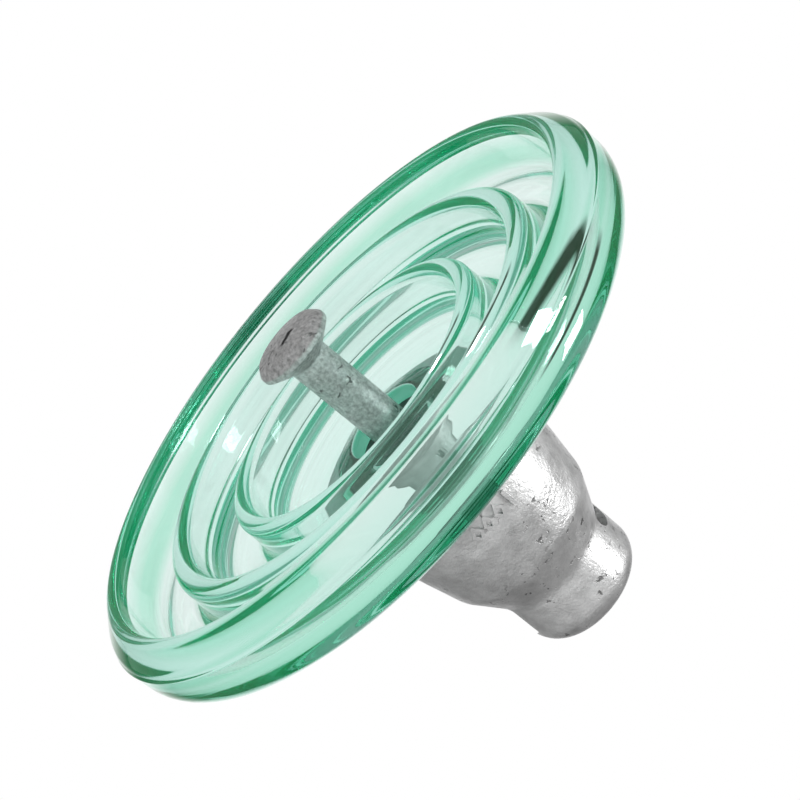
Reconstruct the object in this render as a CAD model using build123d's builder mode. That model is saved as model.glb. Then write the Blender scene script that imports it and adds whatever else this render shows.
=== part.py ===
from build123d import *
from math import radians, tan
import os

# Cap-and-pin suspension insulator with a toughened glass shell, ball and socket coupling 16A.
# Units are millimetres. +Z is up: the cap is on top and the ball pin hangs down.
# The origin is on the axis, at the height where the socket carries the ball of the unit above.
# The socket is entered from +X, and the locking clip's window is in the cap's back wall, at -X.

# ---- Coupling ----
SPACING = 146.0          # from this socket's seat to this pin's seat
BALL_RADIUS = 16.5
BALL_HEIGHT = 13.4       # from the shank junction to the crown
BALL_LAND = 2.0          # cylindrical band round the ball's widest part
BALL_LAND_TOP = -3.6     # below the seat
BALL_EDGE_RADIUS = 14.2  # where the flat dome turns into the ball's side
BALL_EDGE_Z = -8.6
JUNCTION_Z = 2.1         # shank junction, above the seat
SHANK_RADIUS = 8.2

# ---- Cap ----
LIP_THICKNESS = 8.5      # from the seat to the top of the cap
SOCKET_HALF_WIDTH = 17.35
SOCKET_DEPTH = 20.5      # from the seat to the socket's floor
SLOT_HALF_WIDTH = 9.7    # shank slot
SLOT_FLARE = 1.8         # bevel round the top of the shank slot
LIP_SLOPE_Z = -3.7       # where the sloping lip meets the socket's side wall
LIP_EDGE_Z = 1.15        # where the sloping lip meets the shank slot
HEAD_RADIUS = 26.6
CROWN_ROUND = 11.0
NECK_Z = -19.5           # where the socket head meets the bell
NECK_ROUND = 9.0
WINDOW_DEPTH_X = 12.0
ROOF_Z = -28.0           # inner roof of the bell
MOUTH_Z = -85.0          # bottom edge of the bell
MOUTH_RADIUS = 42.0
BORE_MOUTH_RADIUS = 31.8

MARK_START = 33.0        # inside the bell's wall
MARK_X = -4.0            # middle of the row of marks, before it is turned
MARK_TURN = -14.0        # degrees about the axis
MARK_Z = -65.0
MARK_HEIGHT = 8.4
MARK_STROKE = 1.6
MARK_WIDTH = 5.2
MARK_HOLLOW = 0.45       # inside of a diamond over its outside
MARK_PITCH = 5.7
MARK_RELIEF = 1.2

# ---- Clip ----
CLIP_WIRE_RADIUS = 1.6
CLIP_Z = -16.0
CLIP_LEG_Y = 3.4
CLIP_FOOT_Y = 6.0
CLIP_FOOT_X = 12.3
CLIP_BACK_X = -22.0
WINDOW_WIDTH = 11.0
WINDOW_HEIGHT = 8.0
WINDOW_Z = -16.2

# ---- Glass shell ----
DISC_RADIUS = 127.5
SHELL_SLOPE = 14.2       # fall of the upper surface, degrees
SHELL_TOP_Z = -84.2      # upper surface at the neck
NECK_RADIUS = 26.5
RIM_ROUND = 14.3
RIM_TIP_Z = -138.2
FLOOR_Z = -103.0         # underside beside the boss
HEAD_TOP_Z = -30.6
HOLE_RADIUS = 16.9
HOLE_TOP_Z = -42.0
HOLE_MOUTH_Z = -105.7

# ---- Linings ----
COAT = 0.6               # bitumen
PIN_TOP_Z = -46.0
PIN_CEMENT_Z = -98.8     # lower face of the pin cement
PIN_CUSHION_RADIUS = 11.0
CAP_CEMENT_Z = -82.4     # lower face of the cap cement
CUSHION = 2.0
CAP_CUSHION_RADIUS = 16.0
PLUG_RADIUS = 18.9       # past the deepest groove of the pin hole

CLEAR = 5.0              # how far cutting tools overshoot
REACH = 60.0             # past the outside of the cap


def lathe_section(corners, axis_x=0.0):
    """A closed half section in the XZ plane, from (r, z, corner radius) triples."""
    with BuildSketch(Plane.XZ) as section:
        with BuildLine():
            points = [(axis_x + r, z) for r, z, _ in corners]
            FilletPolyline(*points, radius=[f for _, _, f in corners], close=True)
        make_face()
    return section.sketch


def pin_head_outline(skin=0.0):
    """Outline of the pin inside the glass: three wedges that widen upwards, plus a skin."""
    corners = [(0, PIN_TOP_Z + skin, 0), (12.6 + skin, PIN_TOP_Z + skin, 1.0)]
    wedges = [(13.2, 9.6, -49.0, -59.0), (12.8, 9.2, -62.0, -72.0), (12.2, SHANK_RADIUS, -75.0, -86.0)]
    for wide, narrow, top, bottom in wedges:
        corners += [(wide + skin, top + skin, 0.8), (narrow + skin, bottom, 0.8)]
    return corners


def bore_lining(skin, bottom):
    """Outline of the bell's bore down to a level, shrunk by a skin."""
    return [
        (0, ROOF_Z - skin, 0),
        (24.6 - skin, ROOF_Z - skin, 6 - skin),
        (31.4 - skin, -50.0, 10),
        (32.4 - skin, -68.0, 6),
        (BORE_MOUTH_RADIUS - skin, bottom, 0),
        (0, bottom, 0),
    ]


def disc_section(radius, low, high):
    """Half section of a round disc about the axis."""
    return lathe_section([(0, low, 0), (radius, low, 0), (radius, high, 0), (0, high, 0)])


os.makedirs("parts", exist_ok=True)

# ---- Glass shell: head, boss, two ribs and rim in one pressing ----
slope = tan(radians(SHELL_SLOPE))
rim_corner_z = SHELL_TOP_Z - (DISC_RADIUS - NECK_RADIUS) * slope
glass_outline = [
    (0, HEAD_TOP_Z, 0),
    (25.5, HEAD_TOP_Z, 9),
    (28.0, -52.0, 8),
    (NECK_RADIUS, SHELL_TOP_Z, 9),
    (DISC_RADIUS, rim_corner_z, RIM_ROUND),
    (DISC_RADIUS, -129.5, 12),
    (118.8, RIM_TIP_Z, 4.3),
    (114.4, RIM_TIP_Z, 2.6),
    (113.0, -113.8, 9),
    (94.6, -110.6, 6),
    (93.0, -129.9, 4.3),
    (84.2, -129.9, 4.3),
    (83.0, -108.2, 6.5),
    (63.6, -106.2, 5),
    (62.9, -125.2, 3.8),
    (55.2, -125.2, 3.8),
    (54.2, -104.2, 4),
    (27.3, FLOOR_Z, 2),
    (18.6, HOLE_MOUTH_Z, 0.7),
    (HOLE_RADIUS, HOLE_MOUTH_Z, 0.7),
    (HOLE_RADIUS, -92.0, 1),
    (18.2, -88.0, 0.8),
    (17.2, -80.0, 0.8),
    (18.2, -76.0, 0.8),
    (17.2, -68.0, 0.8),
    (18.2, -64.0, 0.8),
    (16.4, -50.0, 2),
    (16.0, HOLE_TOP_Z, 7),
    (0, HOLE_TOP_Z, 0),
]
with BuildPart() as glass_shell:
    revolve(lathe_section(glass_outline), axis=Axis.Z)

# ---- Ball pin: forged ball, straight shank, wedged head cemented into the glass ----
ball_seat_z = -SPACING
junction_z = ball_seat_z + JUNCTION_Z
crown_z = junction_z - BALL_HEIGHT
land_top_z = ball_seat_z + BALL_LAND_TOP
pin_outline = pin_head_outline() + [
    (SHANK_RADIUS, junction_z, 2),
    (BALL_RADIUS, land_top_z, 0.8),
    (BALL_RADIUS, land_top_z - BALL_LAND, 1.5),
    (BALL_EDGE_RADIUS, ball_seat_z + BALL_EDGE_Z, 3),
    (0, crown_z, 0),
]
with BuildPart() as ball_pin:
    revolve(lathe_section(pin_outline), axis=Axis.Z)

# ---- Cap: cast bell with the socket head on top ----
cap_outline = [
    (0, LIP_THICKNESS, 0),
    (HEAD_RADIUS, LIP_THICKNESS, CROWN_ROUND),
    (HEAD_RADIUS, NECK_Z, NECK_ROUND),
    (34.9, -35.6, 13),
    (38.6, -56.0, 40),
    (40.0, -77.0, 3),
    (MOUTH_RADIUS, -79.6, 1.8),
    (MOUTH_RADIUS, MOUTH_Z, 1.8),
    (0, MOUTH_Z, 0),
]
socket_outline = [
    (0, -SOCKET_DEPTH),
    (SOCKET_HALF_WIDTH, -SOCKET_DEPTH),
    (SOCKET_HALF_WIDTH, LIP_SLOPE_Z),
    (SLOT_HALF_WIDTH, LIP_EDGE_Z),
    (SLOT_HALF_WIDTH, LIP_THICKNESS - SLOT_FLARE),
    (SLOT_HALF_WIDTH + SLOT_FLARE, LIP_THICKNESS),
    (SLOT_HALF_WIDTH + SLOT_FLARE, LIP_THICKNESS + CLEAR),
    (0, LIP_THICKNESS + CLEAR),
]
socket_side = socket_outline[1:-1]
with BuildSketch(Plane.XZ) as half_socket:
    with BuildLine():
        Polyline(*socket_outline, close=True)
    make_face()
with BuildSketch(Plane.YZ) as passage:
    with BuildLine():
        Polyline(*socket_side, *[(-y, z) for y, z in reversed(socket_side)], close=True)
    make_face()

# foundry tally on the bell: three open diamonds and an upright bar, with no lettering
mark_corners = [
    (MARK_WIDTH / 2, 0),
    (0, MARK_HEIGHT / 2),
    (-MARK_WIDTH / 2, 0),
    (0, -MARK_HEIGHT / 2),
]
with BuildPart() as casting_marks:
    with BuildSketch(Plane.XZ.offset(MARK_START)):
        with Locations(*[(MARK_X + i * MARK_PITCH, MARK_Z) for i in (-0.5, 0.5, 1.5)]):
            Polygon(*mark_corners)
            Polygon(*[(MARK_HOLLOW * x, MARK_HOLLOW * z) for x, z in mark_corners], mode=Mode.SUBTRACT)
        with Locations((MARK_X - 1.5 * MARK_PITCH, MARK_Z)):
            SlotOverall(MARK_HEIGHT, MARK_STROKE, rotation=90)
    extrude(amount=REACH)
    mark_skin = [
        (0, -75.0, 0),
        (39.8 + MARK_RELIEF, -75.0, 0),
        (38.5 + MARK_RELIEF, -57.0, 0),
        (37.6 + MARK_RELIEF, -51.0, 0),
        (0, -51.0, 0),
    ]
    revolve(lathe_section(mark_skin), axis=Axis.Z, mode=Mode.INTERSECT)

with BuildPart() as cap:
    revolve(lathe_section(cap_outline), axis=Axis.Z)
    add(casting_marks.part, rotation=(0, 0, MARK_TURN))
    revolve(lathe_section(bore_lining(0.0, MOUTH_Z)), axis=Axis.Z, mode=Mode.SUBTRACT)
    # ball socket: round at the back, open at the front, with a sloping lip round the shank slot
    revolve(half_socket.sketch, axis=Axis.Z, mode=Mode.SUBTRACT)
    extrude(passage.sketch, amount=REACH, mode=Mode.SUBTRACT)
    # window for the locking clip through the back wall
    with BuildSketch(Plane.YZ.offset(-WINDOW_DEPTH_X)):
        with Locations((0, WINDOW_Z)):
            SlotOverall(WINDOW_WIDTH, WINDOW_HEIGHT)
    extrude(amount=-REACH, mode=Mode.SUBTRACT)


# ---- Linings between cap and glass ----
cushion_low = HEAD_TOP_Z
cushion_high = ROOF_Z - COAT
with BuildPart() as cap_cushion:
    revolve(disc_section(CAP_CUSHION_RADIUS, cushion_low, cushion_high), axis=Axis.Z)

# the glass head and everything inside its pin hole
with BuildPart() as filled_glass:
    add(glass_shell.part)
    revolve(disc_section(PLUG_RADIUS, FLOOR_Z, HOLE_TOP_Z), axis=Axis.Z)

with BuildPart() as cap_bitumen_coat:
    revolve(lathe_section(bore_lining(0.0, CAP_CEMENT_Z - COAT)), axis=Axis.Z)
    revolve(lathe_section(bore_lining(COAT, CAP_CEMENT_Z)), axis=Axis.Z, mode=Mode.SUBTRACT)
    add(filled_glass.part, mode=Mode.SUBTRACT)

with BuildPart() as cap_cement:
    revolve(lathe_section(bore_lining(COAT, CAP_CEMENT_Z)), axis=Axis.Z)
    add(filled_glass.part, mode=Mode.SUBTRACT)
    add(cap_cushion.part, mode=Mode.SUBTRACT)

# ---- Linings between pin and glass ----
coated_pin = pin_head_outline(COAT) + [(SHANK_RADIUS + COAT, PIN_CEMENT_Z, 0), (0, PIN_CEMENT_Z, 0)]
with BuildPart() as pin_cushion:
    coat_top = PIN_TOP_Z + COAT
    revolve(disc_section(PIN_CUSHION_RADIUS, coat_top, coat_top + CUSHION), axis=Axis.Z)

with BuildPart() as pin_bitumen_coat:
    revolve(lathe_section(coated_pin), axis=Axis.Z)
    revolve(disc_section(PLUG_RADIUS, PIN_CEMENT_Z - COAT, PIN_CEMENT_Z), axis=Axis.Z)
    add(ball_pin.part, mode=Mode.SUBTRACT)
    add(glass_shell.part, mode=Mode.SUBTRACT)

with BuildPart() as pin_cement:
    revolve(disc_section(PLUG_RADIUS, PIN_CEMENT_Z, HOLE_TOP_Z), axis=Axis.Z)
    revolve(lathe_section(coated_pin), axis=Axis.Z, mode=Mode.SUBTRACT)
    add(pin_cushion.part, mode=Mode.SUBTRACT)
    add(glass_shell.part, mode=Mode.SUBTRACT)

# ---- Locking clip: a hairpin of spring wire that lies under the ball and passes through the window ----
clip_points = [
    (CLIP_FOOT_X, -CLIP_FOOT_Y),
    (CLIP_FOOT_X - 4.0, -CLIP_LEG_Y),
    (CLIP_BACK_X, -CLIP_LEG_Y),
    (CLIP_BACK_X, CLIP_LEG_Y),
    (CLIP_FOOT_X - 4.0, CLIP_LEG_Y),
    (CLIP_FOOT_X, CLIP_FOOT_Y),
]
clip_loop_radius = 0.95 * CLIP_LEG_Y
with BuildPart() as locking_clip:
    with BuildLine(Plane.XY.offset(CLIP_Z)) as clip_path:
        FilletPolyline(*clip_points, radius=[3.0, clip_loop_radius, clip_loop_radius, 3.0])
    with BuildSketch(Plane(origin=clip_path.line @ 0, z_dir=clip_path.line % 0)):
        Circle(CLIP_WIRE_RADIUS)
    sweep()
    fillet(locking_clip.faces().filter_by(GeomType.PLANE).edges(), 0.4)

pieces = {
    "cap": cap,
    "cap_bitumen_coat": cap_bitumen_coat,
    "cap_cement": cap_cement,
    "cap_cushion": cap_cushion,
    "glass_shell": glass_shell,
    "pin_cushion": pin_cushion,
    "pin_cement": pin_cement,
    "pin_bitumen_coat": pin_bitumen_coat,
    "ball_pin": ball_pin,
    "locking_clip": locking_clip,
}
for name, piece in pieces.items():
    piece.part.label = name
    export_step(piece.part, f"parts/{name}.step")
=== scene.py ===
import math

import bmesh
import bpy
from mathutils import Matrix, Vector, noise


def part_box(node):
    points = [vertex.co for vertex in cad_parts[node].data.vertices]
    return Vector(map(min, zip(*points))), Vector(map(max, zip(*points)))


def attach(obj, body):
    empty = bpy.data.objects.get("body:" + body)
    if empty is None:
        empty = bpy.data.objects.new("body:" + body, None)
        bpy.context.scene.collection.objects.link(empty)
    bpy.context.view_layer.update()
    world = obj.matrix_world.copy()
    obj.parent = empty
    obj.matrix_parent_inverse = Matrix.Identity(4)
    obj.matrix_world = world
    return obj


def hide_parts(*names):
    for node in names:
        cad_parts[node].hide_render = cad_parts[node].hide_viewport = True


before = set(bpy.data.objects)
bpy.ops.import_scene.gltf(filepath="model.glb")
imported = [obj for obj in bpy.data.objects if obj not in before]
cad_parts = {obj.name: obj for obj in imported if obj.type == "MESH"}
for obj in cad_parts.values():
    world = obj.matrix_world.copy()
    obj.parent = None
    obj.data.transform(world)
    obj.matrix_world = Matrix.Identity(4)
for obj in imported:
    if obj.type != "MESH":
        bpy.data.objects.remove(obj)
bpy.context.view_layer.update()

MM = 0.001
TAU = 2 * math.pi
BODY = "insulator"


def box_in_mm(node):
    """A node's lowest and highest corners in millimetres, to the nearest micrometre."""
    return [[round(value / MM, 3) for value in corner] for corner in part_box(node)]


# ---------------------------------------------------------------- sizes, in millimetres
glass_low, glass_high = box_in_mm("glass_shell")
DISC_RADIUS = glass_high[0] - 0.2          # the parting line and the waves stay inside the box
RIM_TIP_Z = glass_low[2]
HEAD_TOP_Z = glass_high[2]
PARTING_Z = -128.6                         # parting line of the mould, round the rim
BALL_TIP_Z = box_in_mm("ball_pin")[0][2]


# ---------------------------------------------------------------- outlines and lathed meshes
def rounded(corners, arc_step=7.0):
    """Points along an open (r, z, corner radius) outline in millimetres, corners drawn as arcs."""
    points = [Vector(corners[0][:2])]
    for before, corner, after in zip(corners, corners[1:], corners[2:]):
        here = Vector(corner[:2])
        to_before = (Vector(before[:2]) - here).normalized()
        to_after = (Vector(after[:2]) - here).normalized()
        opening = to_before.angle(to_after)
        radius = corner[2]
        if radius <= 0:
            points.append(here)
            continue
        reach = radius / math.tan(opening / 2)
        centre = here + (to_before + to_after).normalized() * (radius / math.sin(opening / 2))
        start = here + to_before * reach - centre
        turn = math.pi - opening
        if start.x * to_before.y - start.y * to_before.x > 0:
            turn = -turn
        steps = max(2, math.ceil(math.degrees(abs(turn)) / arc_step))
        for i in range(steps + 1):
            angle = turn * i / steps
            cos, sin = math.cos(angle), math.sin(angle)
            points.append(centre + Vector((start.x * cos - start.y * sin, start.x * sin + start.y * cos)))
    points.append(Vector(corners[-1][:2]))
    return points


def spaced(points, longest):
    """The same outline with no stretch longer than a limit."""
    out = [points[0]]
    for a, b in zip(points, points[1:]):
        pieces = max(1, math.ceil((b - a).length / longest))
        out += [a.lerp(b, (i + 1) / pieces) for i in range(pieces)]
    return out


def lathe(name, points, segments, offset):
    """A closed solid of revolution from an outline that starts and ends on the axis.

    offset(along, angle, point) moves a point along its outline's normal, in millimetres."""
    travel = [0.0]
    for a, b in zip(points, points[1:]):
        travel.append(travel[-1] + (b - a).length)
    made = bmesh.new()
    rings = []
    for i, point in enumerate(points):
        if point.x < 1e-4:
            rings.append([made.verts.new((0, 0, point.y * MM))])
            continue
        ahead = points[i + 1] - points[i - 1]
        normal = Vector((ahead.y, -ahead.x)).normalized()
        ring = []
        for k in range(segments):
            angle = TAU * k / segments
            shift = offset(travel[i], angle, point)
            r, z = point.x + normal.x * shift, point.y + normal.y * shift
            ring.append(made.verts.new((r * math.cos(angle) * MM, r * math.sin(angle) * MM, z * MM)))
        rings.append(ring)
    for low, high in zip(rings, rings[1:]):
        for k in range(segments):
            after = (k + 1) % segments
            if len(low) == 1:
                made.faces.new((low[0], high[k], high[after]))
            elif len(high) == 1:
                made.faces.new((low[k], high[0], low[after]))
            else:
                made.faces.new((low[k], high[k], high[after], low[after]))
    bmesh.ops.recalc_face_normals(made, faces=made.faces)
    mesh = bpy.data.meshes.new(name)
    made.to_mesh(mesh)
    made.free()
    mesh.polygons.foreach_set("use_smooth", [True] * len(mesh.polygons))
    piece = bpy.data.objects.new(name, mesh)
    bpy.context.collection.objects.link(piece)
    return piece


def dress(piece, material):
    piece.data.materials.clear()
    piece.data.materials.append(material)


# ---------------------------------------------------------------- a short way to write nodes
class Nodes:
    """The nodes of a material or of the world, built from a place to the shader."""

    def __init__(self, owner, coordinates):
        owner.use_nodes = True
        self.owner = owner
        self.tree = owner.node_tree
        self.place = self.new("ShaderNodeTexCoord").outputs[coordinates]

    def new(self, kind):
        return self.tree.nodes.new(kind)

    def link(self, a, b):
        self.tree.links.new(a, b)

    def fill(self, socket, value):
        """Put a number, a colour or another node's output into a socket."""
        if isinstance(value, (int, float)):
            socket.default_value = value
        elif isinstance(value, tuple):
            socket.default_value = (*value, 1.0)
        else:
            self.link(value, socket)

    def noise(self, scale, detail, roughness=0.55, distortion=0.0):
        node = self.new("ShaderNodeTexNoise")
        node.inputs["Scale"].default_value = scale
        node.inputs["Detail"].default_value = detail
        node.inputs["Roughness"].default_value = roughness
        node.inputs["Distortion"].default_value = distortion
        self.link(self.place, node.inputs["Vector"])
        return node.outputs["Fac"]

    def ramp(self, value, *stops):
        """A colour that runs from the first stop to the second; a stop is a position and a colour."""
        node = self.new("ShaderNodeValToRGB")
        for element, (position, colour) in zip(node.color_ramp.elements, stops):
            element.position = position
            element.color = (*colour, 1.0)
        self.link(value, node.inputs["Fac"])
        return node.outputs["Color"]

    def maths(self, operation, *values):
        node = self.new("ShaderNodeMath")
        node.operation = operation
        for value, socket in zip(values, node.inputs):
            self.fill(socket, value)
        return node.outputs["Value"]

    def dot(self, direction):
        """How far a place lies along a direction."""
        node = self.new("ShaderNodeVectorMath")
        node.operation = "DOT_PRODUCT"
        node.inputs[1].default_value = direction
        self.link(self.place, node.inputs[0])
        return node.outputs["Value"]

    def fade(self, value, start, end, low=0.0, high=1.0):
        """The low value up to the start, the high value past the end, and a ramp between them."""
        node = self.new("ShaderNodeMapRange")
        node.inputs["From Min"].default_value = start
        node.inputs["From Max"].default_value = end
        node.inputs["To Min"].default_value = low
        node.inputs["To Max"].default_value = high
        self.link(value, node.inputs["Value"])
        return node.outputs["Result"]

    def mix(self, share, a, b, blend="MIX"):
        node = self.new("ShaderNodeMix")
        node.data_type = "RGBA"
        node.blend_type = blend
        sockets = [socket for socket in node.inputs if socket.enabled]
        for value, socket in zip((share, a, b), sockets):
            self.fill(socket, value)
        return next(output for output in node.outputs if output.enabled)

    def bump(self, height, strength, distance, below=None):
        node = self.new("ShaderNodeBump")
        node.inputs["Strength"].default_value = strength
        node.inputs["Distance"].default_value = distance
        self.link(height, node.inputs["Height"])
        if below is not None:
            self.link(below, node.inputs["Normal"])
        return node.outputs["Normal"]


class Surface(Nodes):
    """The nodes of a material, round its Principled shader. Places are the object's own, in metres."""

    def __init__(self, name):
        super().__init__(bpy.data.materials.new(name), "Object")
        self.inputs = self.tree.nodes["Principled BSDF"].inputs


def grey(value):
    return (value, value, value)


# ---------------------------------------------------------------- glass material
GLASS_IOR = 1.52
GLASS_COLOUR = (0.0, 0.70, 0.53, 1.0)      # light that passes; the rest is absorbed along the path
GLASS_DENSITY = 16.0                       # per metre
GLASS_PAINTED_GLOW = (0.02, 0.75, 0.36, 1.0)       # painted glow: the glass gives off green light of its own, standing in for light caught inside, which keeps long paths green, not black
SHOULDER_TINT = (0.40, 0.78, 0.60)         # the rim's outer shoulder is the thickest glass
SHOULDER_INSIDE = (DISC_RADIUS - 4.8) * MM     # the tint starts at this radius
SHOULDER_OUTSIDE = (DISC_RADIUS - 0.8) * MM    # and is full at this one
SHOULDER_BOTTOM = (PARTING_Z + 0.1) * MM
SHOULDER_TOP = (PARTING_Z + 7.1) * MM
WAVINESS_SCALE = 45
WAVINESS_STRENGTH = 0.1
WAVINESS_DEPTH = 0.6 * MM


def glass_material():
    n = Surface("green_toughened_glass")
    x, y, z = n.dot((1, 0, 0)), n.dot((0, 1, 0)), n.dot((0, 0, 1))
    radius = n.maths("SQRT", n.maths("ADD", n.maths("MULTIPLY", x, x), n.maths("MULTIPLY", y, y)))
    far_out = n.fade(radius, SHOULDER_INSIDE, SHOULDER_OUTSIDE)
    high_up = n.fade(z, SHOULDER_BOTTOM, SHOULDER_TOP)
    shoulder = n.maths("MULTIPLY", far_out, high_up)
    n.link(n.mix(shoulder, grey(1.0), SHOULDER_TINT), n.inputs["Base Color"])
    n.inputs["Transmission Weight"].default_value = 1.0
    n.inputs["IOR"].default_value = GLASS_IOR
    n.inputs["Roughness"].default_value = 0.0
    waviness = n.noise(WAVINESS_SCALE, 1.0)
    n.link(n.bump(waviness, WAVINESS_STRENGTH, WAVINESS_DEPTH), n.inputs["Normal"])
    absorbed = n.new("ShaderNodeVolumeAbsorption")
    absorbed.inputs["Color"].default_value = GLASS_COLOUR
    absorbed.inputs["Density"].default_value = GLASS_DENSITY
    # painted glow: an emission in the glass volume stands in for light caught inside the glass
    painted_glow = n.new("ShaderNodeEmission")
    painted_glow.inputs["Color"].default_value = GLASS_PAINTED_GLOW
    both = n.new("ShaderNodeAddShader")
    n.link(absorbed.outputs["Volume"], both.inputs[0])
    n.link(painted_glow.outputs["Emission"], both.inputs[1])
    n.link(both.outputs["Shader"], n.tree.nodes["Material Output"].inputs["Volume"])
    return n.owner


# ---------------------------------------------------------------- metal and other materials
PIT_SCALE = 330
PIT_PATCH_SCALE = 42
PIT_DEPTH = 0.3 * MM
PIT_GREY = 0.3
ROUGHNESS_SCALE = 150
CAST_SCALE = 190
GRAIN_SCALE = 900
LAP_GREY = 0.06
LAP_ACROSS = (0.712, 0.702, 0)             # directions on the ball's crown
LAP_ALONG = (-0.702, 0.712, 0)
LAP_MIDDLE_ACROSS = -4.6 * MM              # where the lap's middle lies in those directions
LAP_MIDDLE_ALONG = -0.7 * MM
LAP_WIDE, LAP_FULL_WIDE = 1.2 * MM, 0.6 * MM   # half widths, where the lap ends and where it is full
LAP_LONG, LAP_FULL_LONG = 4.2 * MM, 3.2 * MM   # the same for half its length
LAP_WANDER_SCALE = 380
LAP_WANDER = 1.6 * MM
LAP_START_Z = (BALL_TIP_Z + 6.3) * MM      # the lap fades in below this height, on the crown alone
LAP_FULL_Z = (BALL_TIP_Z + 3.3) * MM


def forging_lap(n):
    """1 along a short dark lap in the ball's crown, 0 elsewhere."""
    wander = n.maths("MULTIPLY", n.maths("SUBTRACT", n.noise(LAP_WANDER_SCALE, 2.0), 0.5), LAP_WANDER)
    off_line = n.maths("ADD", n.maths("SUBTRACT", n.dot(LAP_ACROSS), LAP_MIDDLE_ACROSS), wander)
    off_middle = n.maths("SUBTRACT", n.dot(LAP_ALONG), LAP_MIDDLE_ALONG)
    thin = n.fade(n.maths("ABSOLUTE", off_line), LAP_WIDE, LAP_FULL_WIDE)
    short = n.fade(n.maths("ABSOLUTE", off_middle), LAP_LONG, LAP_FULL_LONG)
    on_crown = n.fade(n.dot((0, 0, 1)), LAP_START_Z, LAP_FULL_Z)
    return n.maths("MULTIPLY", n.maths("MULTIPLY", thin, short), on_crown)


def zinc_material(name, light, dark, roughness, mottle, lumps, grain, metallic, lap=False):
    """Hot-dip galvanised metal: mottled, lumpy or grainy, with small dark pits in patches."""
    n = Surface(name)
    colour = n.ramp(n.noise(mottle, 6.0, 0.65), (0.32, grey(dark)), (0.68, grey(light)))
    pits = n.ramp(n.noise(PIT_SCALE, 3.0, 0.5, 0.6), (0.32, grey(PIT_GREY)), (0.39, grey(1.0)))
    sound = n.ramp(n.noise(PIT_PATCH_SCALE, 2.0), (0.47, grey(1.0)), (0.56, grey(0.0)))
    pitted = n.mix(1.0, pits, sound, "LIGHTEN")
    if lap:
        pitted = n.mix(forging_lap(n), pitted, grey(LAP_GREY))
    n.link(n.mix(1.0, colour, pitted, "MULTIPLY"), n.inputs["Base Color"])
    n.inputs["Metallic"].default_value = metallic
    smoother, rougher = grey(roughness - 0.08), grey(roughness + 0.1)
    n.link(n.ramp(n.noise(ROUGHNESS_SCALE, 4.0), (0.3, smoother), (0.7, rougher)), n.inputs["Roughness"])
    cast = n.bump(n.noise(CAST_SCALE, 3.0, 0.5), 1.0, lumps)
    fine = n.bump(n.noise(GRAIN_SCALE, 3.0, 0.6), 1.0, grain, cast)
    n.link(n.bump(pitted, 1.0, PIT_DEPTH, fine), n.inputs["Normal"])
    return n.owner


def plain_material(name, dark, light, scale, roughness, bump, metallic=0.0):
    """A lightly mottled and lumpy surface."""
    n = Surface(name)
    n.link(n.ramp(n.noise(scale, 5.0), (0.35, dark), (0.65, light)), n.inputs["Base Color"])
    n.inputs["Roughness"].default_value = roughness
    n.inputs["Metallic"].default_value = metallic
    n.link(n.bump(n.noise(scale * 3, 3.0), 0.4, bump), n.inputs["Normal"])
    return n.owner


glass = glass_material()
cap_zinc = zinc_material(
    "galvanised_casting", light=0.82, dark=0.56, roughness=0.38, mottle=120,
    lumps=0.3 * MM, grain=0.18 * MM, metallic=0.6,
)
pin_zinc = zinc_material(
    "galvanised_forging", light=0.98, dark=0.42, roughness=0.46, mottle=620,
    lumps=0.2 * MM, grain=0.3 * MM, metallic=0.8, lap=True,
)
cement = plain_material("portland_cement", grey(0.33), grey(0.42), scale=300, roughness=0.85, bump=0.4 * MM)
bitumen = plain_material("bitumen", grey(0.006), grey(0.02), scale=200, roughness=0.35, bump=0.4 * MM)
cork = plain_material(
    "cork_pad", (0.22, 0.12, 0.06), (0.34, 0.2, 0.1), scale=400, roughness=0.9, bump=0.4 * MM,
)
steel = plain_material(
    "stainless_spring_wire", grey(0.42), grey(0.5), scale=300, roughness=0.3, bump=0.1 * MM, metallic=1.0,
)
for node, material in (
    ("cap", cap_zinc),
    ("ball_pin", pin_zinc),
    ("cap_cement", cement),
    ("pin_cement", cement),
    ("cap_bitumen_coat", bitumen),
    ("pin_bitumen_coat", bitumen),
    ("cap_cushion", cork),
    ("pin_cushion", cork),
    ("locking_clip", steel),
):
    dress(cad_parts[node], material)

# ---------------------------------------------------------------- glass shell, in millimetres
SHELL_TOP_Z = -84.2                        # upper surface at the neck
NECK_RADIUS = 26.5
SHELL_SLOPE = math.radians(14.2)           # fall of the upper surface
HOLE_TOP_Z = -42.0
rim_corner_z = SHELL_TOP_Z - (DISC_RADIUS - NECK_RADIUS) * math.tan(SHELL_SLOPE)

# corners are (radius, z, corner radius); they follow the part's outline, with the parting line added
head_outline = [
    (0, HEAD_TOP_Z, 0),
    (25.5, HEAD_TOP_Z, 9),
    (28.0, -52.0, 8),
    (NECK_RADIUS, SHELL_TOP_Z, 9),
]
rim_outline = [
    (DISC_RADIUS, rim_corner_z, 14.3),
    (DISC_RADIUS, PARTING_Z + 0.5, 0),
    (DISC_RADIUS + 0.1, PARTING_Z, 0),
    (DISC_RADIUS - 0.3, PARTING_Z - 0.3, 0),
    (126.1, -131.2, 5),
    (118.8, RIM_TIP_Z, 4.4),
    (114.4, RIM_TIP_Z, 2.6),
]
under_outline = [
    (113.0, -113.8, 9),
    (94.6, -110.6, 6),
    (93.0, -129.9, 4.3),
    (84.2, -129.9, 4.3),
    (83.0, -108.2, 6.5),
    (63.6, -106.2, 5),
    (62.9, -125.2, 3.8),
    (55.2, -125.2, 3.8),
    (54.2, -104.2, 4),
    (27.3, -103.0, 2),
    (18.6, -105.7, 0.7),
    (16.9, -105.7, 0.7),
]
hole_outline = [
    (16.9, -92.0, 1),
    (18.2, -88.0, 0.8),
    (17.2, -80.0, 0.8),
    (18.2, -76.0, 0.8),
    (17.2, -68.0, 0.8),
    (18.2, -64.0, 0.8),
    (16.4, -50.0, 2),
    (16.0, HOLE_TOP_Z, 7),
    (0, HOLE_TOP_Z, 0),
]
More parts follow.
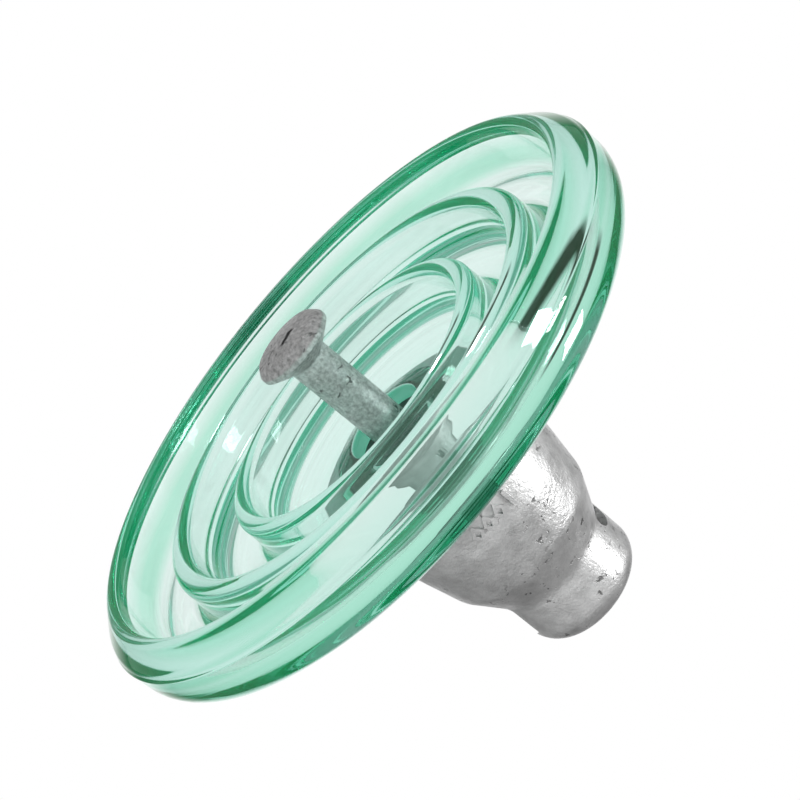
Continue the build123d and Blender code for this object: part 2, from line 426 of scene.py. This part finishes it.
glass_outline = head_outline + rim_outline + under_outline + hole_outline

SEGMENTS = 256
LONGEST_STRETCH = 2.5
WAVE_HEIGHT = 0.05
WAVES_ROUND = 1.3
WAVES_ALONG = 0.05                         # per millimetre of outline
TRUE_RADIUS = 20                           # no waves in the pin hole,
TRUE_ABOVE_Z = -80                         # nor on the head inside the cap


def pressing_waves(along, angle, point):
    """Slight waviness of pressed glass, longer round the disc than across it."""
    if point.x < TRUE_RADIUS or point.y > TRUE_ABOVE_Z:
        return 0.0
    spot = Vector((math.cos(angle) * WAVES_ROUND, math.sin(angle) * WAVES_ROUND, along * WAVES_ALONG))
    return WAVE_HEIGHT * noise.noise(spot)


glass_points = spaced(rounded(glass_outline), LONGEST_STRETCH)
shell = lathe("glass_shell_pressed", glass_points, SEGMENTS, pressing_waves)
dress(shell, glass)
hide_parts("glass_shell")
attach(shell, BODY)


# ---------------------------------------------------------------- camera
def toward(azimuth, elevation):
    """Unit vector for a direction in degrees: azimuth from +X, elevation above the horizon."""
    a, e = math.radians(azimuth), math.radians(elevation)
    return Vector((math.cos(e) * math.cos(a), math.cos(e) * math.sin(a), math.sin(e)))


CAMERA_DISTANCE = 0.620
CAMERA_AZIMUTH = -111.0
CAMERA_ELEVATION = -21.07
CAMERA_ROLL = math.radians(50.35)          # 0 shows the pin straight up
SENSOR = 36.0
LENS = 2.1204 * SENSOR
AIM = Vector((-9.77, -6.4, -108.31)) * MM  # at the picture's centre, for a camera at azimuth -90

turn = Matrix.Rotation(math.radians(CAMERA_AZIMUTH + 90), 4, "Z")
back = toward(CAMERA_AZIMUTH, CAMERA_ELEVATION)
side = turn @ Vector((-1, 0, 0))
up = back.cross(side)
right = side * math.cos(CAMERA_ROLL) - up * math.sin(CAMERA_ROLL)
top = side * math.sin(CAMERA_ROLL) + up * math.cos(CAMERA_ROLL)
place = turn @ AIM + back * CAMERA_DISTANCE
camera_data = bpy.data.cameras.new("camera")
camera_data.sensor_width = SENSOR
camera_data.lens = LENS
camera = bpy.data.objects.new("camera", camera_data)
camera.matrix_world = Matrix((
    (right.x, top.x, back.x, place.x),
    (right.y, top.y, back.y, place.y),
    (right.z, top.z, back.z, place.z),
    (0, 0, 0, 1),
))
bpy.context.collection.objects.link(camera)
bpy.context.scene.camera = camera

# ---------------------------------------------------------------- studio
ROOM_BRIGHT_SIDE = toward(-116, 0)
ROOM_SPREAD = 0.8                          # dim at minus this along the bright axis, bright at plus this
ROOM_DIM, ROOM_BRIGHT = 0.2, 1.35
OVERHEAD_START, OVERHEAD_END = 0.3, 0.8    # heights on the sky, past the cap end
OVERHEAD_DIM = 0.12                        # share of the room's light left there
PAPER_CENTRE = toward(CAMERA_AZIMUTH + 180, 21)    # straight behind the object
PAPER_START, PAPER_FULL = 0.78, 0.92       # cosines of the angle from its centre
STREAK_START, STREAK_END = toward(178, 48), toward(142, 27)
STREAK_WIDE, STREAK_FULL_WIDE = 0.13, 0.06     # half widths, where it ends and where it is full
STREAK_LONG, STREAK_FULL_LONG = math.radians(27), math.radians(18)     # the same for half its length
STREAK_COLOUR = (0.02, 0.012, 0.003)
OBJECT_MIDDLE = Vector((0, 0, -70)) * MM
FLOOR_Z = -0.9
FLOOR_HALF = 20.0
FLOOR_GLOW_SEEN = 0.45                     # to the camera
FLOOR_GLOW_IN_GLASS = 0.15
FLOOR_GLOW = 0.05                          # to everything
LIGHT_BOUNCES = 40                         # light crosses many glass walls


def studio_world():
    """White behind the object; its reflections see a softer room that is darker on one side."""
    n = Nodes(bpy.data.worlds.new("studio"), "Generated")
    beside = n.fade(n.dot(ROOM_BRIGHT_SIDE), -ROOM_SPREAD, ROOM_SPREAD, ROOM_DIM, ROOM_BRIGHT)
    overhead = n.fade(n.dot((0, 0, 1)), OVERHEAD_START, OVERHEAD_END, 1.0, OVERHEAD_DIM)
    room = n.new("ShaderNodeBackground")
    n.link(n.maths("MULTIPLY", beside, overhead), room.inputs["Strength"])

    # a dark edge of the studio that shows through the near rim, as a streak
    off_line = n.maths("ABSOLUTE", n.dot(STREAK_START.cross(STREAK_END).normalized()))
    narrow = n.fade(off_line, STREAK_WIDE, STREAK_FULL_WIDE)
    near_middle = n.dot((STREAK_START + STREAK_END).normalized())
    short = n.fade(near_middle, math.cos(STREAK_LONG), math.cos(STREAK_FULL_LONG))
    streak = n.ramp(n.maths("MULTIPLY", narrow, short), (0.0, grey(1.0)), (1.0, STREAK_COLOUR))
    paper = n.tree.nodes["Background"]
    n.link(streak, paper.inputs["Color"])

    # the eye and the glass see the paper, and so do reflections that glance towards it
    path = n.new("ShaderNodeLightPath")
    seen = n.maths("MAXIMUM", path.outputs["Is Camera Ray"], path.outputs["Is Transmission Ray"])
    glancing = n.fade(n.dot(PAPER_CENTRE), PAPER_START, PAPER_FULL)
    choice = n.new("ShaderNodeMixShader")
    n.link(n.maths("MAXIMUM", seen, glancing), choice.inputs["Fac"])
    n.link(room.outputs["Background"], choice.inputs[1])
    n.link(paper.outputs["Background"], choice.inputs[2])
    n.link(choice.outputs["Shader"], n.tree.nodes["World Output"].inputs["Surface"])
    return n.owner


def soft_box(name, azimuth, elevation, distance, size, watts):
    """A square area light that faces the middle of the object."""
    light = bpy.data.lights.new(name, "AREA")
    light.size = size
    light.energy = watts
    lamp = bpy.data.objects.new(name, light)
    lamp.location = OBJECT_MIDDLE + toward(azimuth, elevation) * distance
    lamp.rotation_euler = toward(azimuth, elevation).to_track_quat("Z", "Y").to_euler()
    bpy.context.collection.objects.link(lamp)


def floor_material():
    """Pale to the eye, but dimmer as a light on the object and in the glass."""
    n = Surface("pale_floor")
    n.link(n.ramp(n.noise(3, 5.0), (0.35, grey(0.82)), (0.65, grey(0.84))), n.inputs["Base Color"])
    n.inputs["Roughness"].default_value = 0.8
    n.inputs["Emission Color"].default_value = (1, 1, 1, 1)
    path = n.new("ShaderNodeLightPath")
    straight = n.maths("MULTIPLY", path.outputs["Is Camera Ray"], FLOOR_GLOW_SEEN)
    through = n.maths("MULTIPLY", path.outputs["Is Transmission Ray"], FLOOR_GLOW_IN_GLASS)
    n.link(n.maths("ADD", n.maths("ADD", straight, through), FLOOR_GLOW), n.inputs["Emission Strength"])
    return n.owner


bpy.context.scene.world = studio_world()
soft_box("key", azimuth=-171, elevation=29, distance=0.9, size=0.2, watts=3)

floor_mesh = bpy.data.meshes.new("floor")
floor_corners = [(x * FLOOR_HALF, y * FLOOR_HALF, FLOOR_Z) for x, y in ((-1, -1), (1, -1), (1, 1), (-1, 1))]
floor_mesh.from_pydata(floor_corners, [], [(0, 1, 2, 3)])
floor = bpy.data.objects.new("floor", floor_mesh)
bpy.context.collection.objects.link(floor)
dress(floor, floor_material())

scene = bpy.context.scene
scene.view_settings.view_transform = "Standard"
scene.cycles.max_bounces = LIGHT_BOUNCES
scene.cycles.glossy_bounces = LIGHT_BOUNCES
scene.cycles.transmission_bounces = LIGHT_BOUNCES
